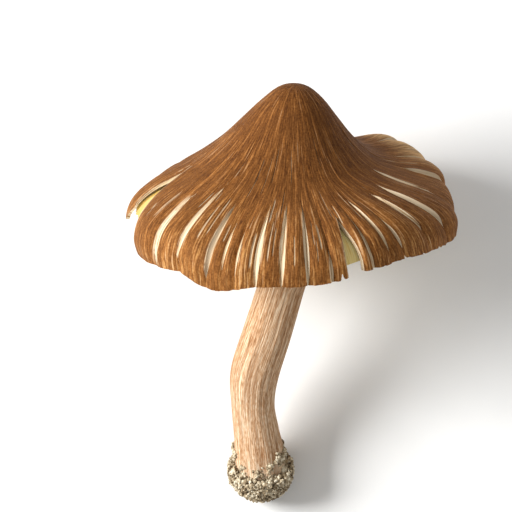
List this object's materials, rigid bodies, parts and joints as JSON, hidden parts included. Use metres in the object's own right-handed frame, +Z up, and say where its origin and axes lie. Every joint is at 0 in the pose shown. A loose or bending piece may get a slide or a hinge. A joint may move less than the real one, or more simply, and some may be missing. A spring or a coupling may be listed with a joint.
{
  "type": "ink cap mushroom",
  "caption": "Picked brown ink cap lying on its side: bell cap with a torn margin, pale yellow gills, curved tan stem and soil round the foot.",
  "frame": {"origin": "on the surface it lies on, under the middle of the mushroom's bounding box", "axes": "+Y from the foot towards the cap, +Z up from the surface, +X to the right seen from the foot"},
  "size_m": [0.0767, 0.0909, 0.0684],
  "materials": {
    "cap_skin": "satin brown skin with fine radial fibres, darker at the umbo, cream where it is torn",
    "gill_flesh": "matt pale yellow",
    "stem_flesh": "matt tan with long brown fibres",
    "soil": "rough grey-brown crumbs"
  },
  "bodies": {
    "root": {"cap": "cap_skin", "gills": "gill_flesh", "stem": "stem_flesh", "soil": "soil"}
  },
  "joints": []
}
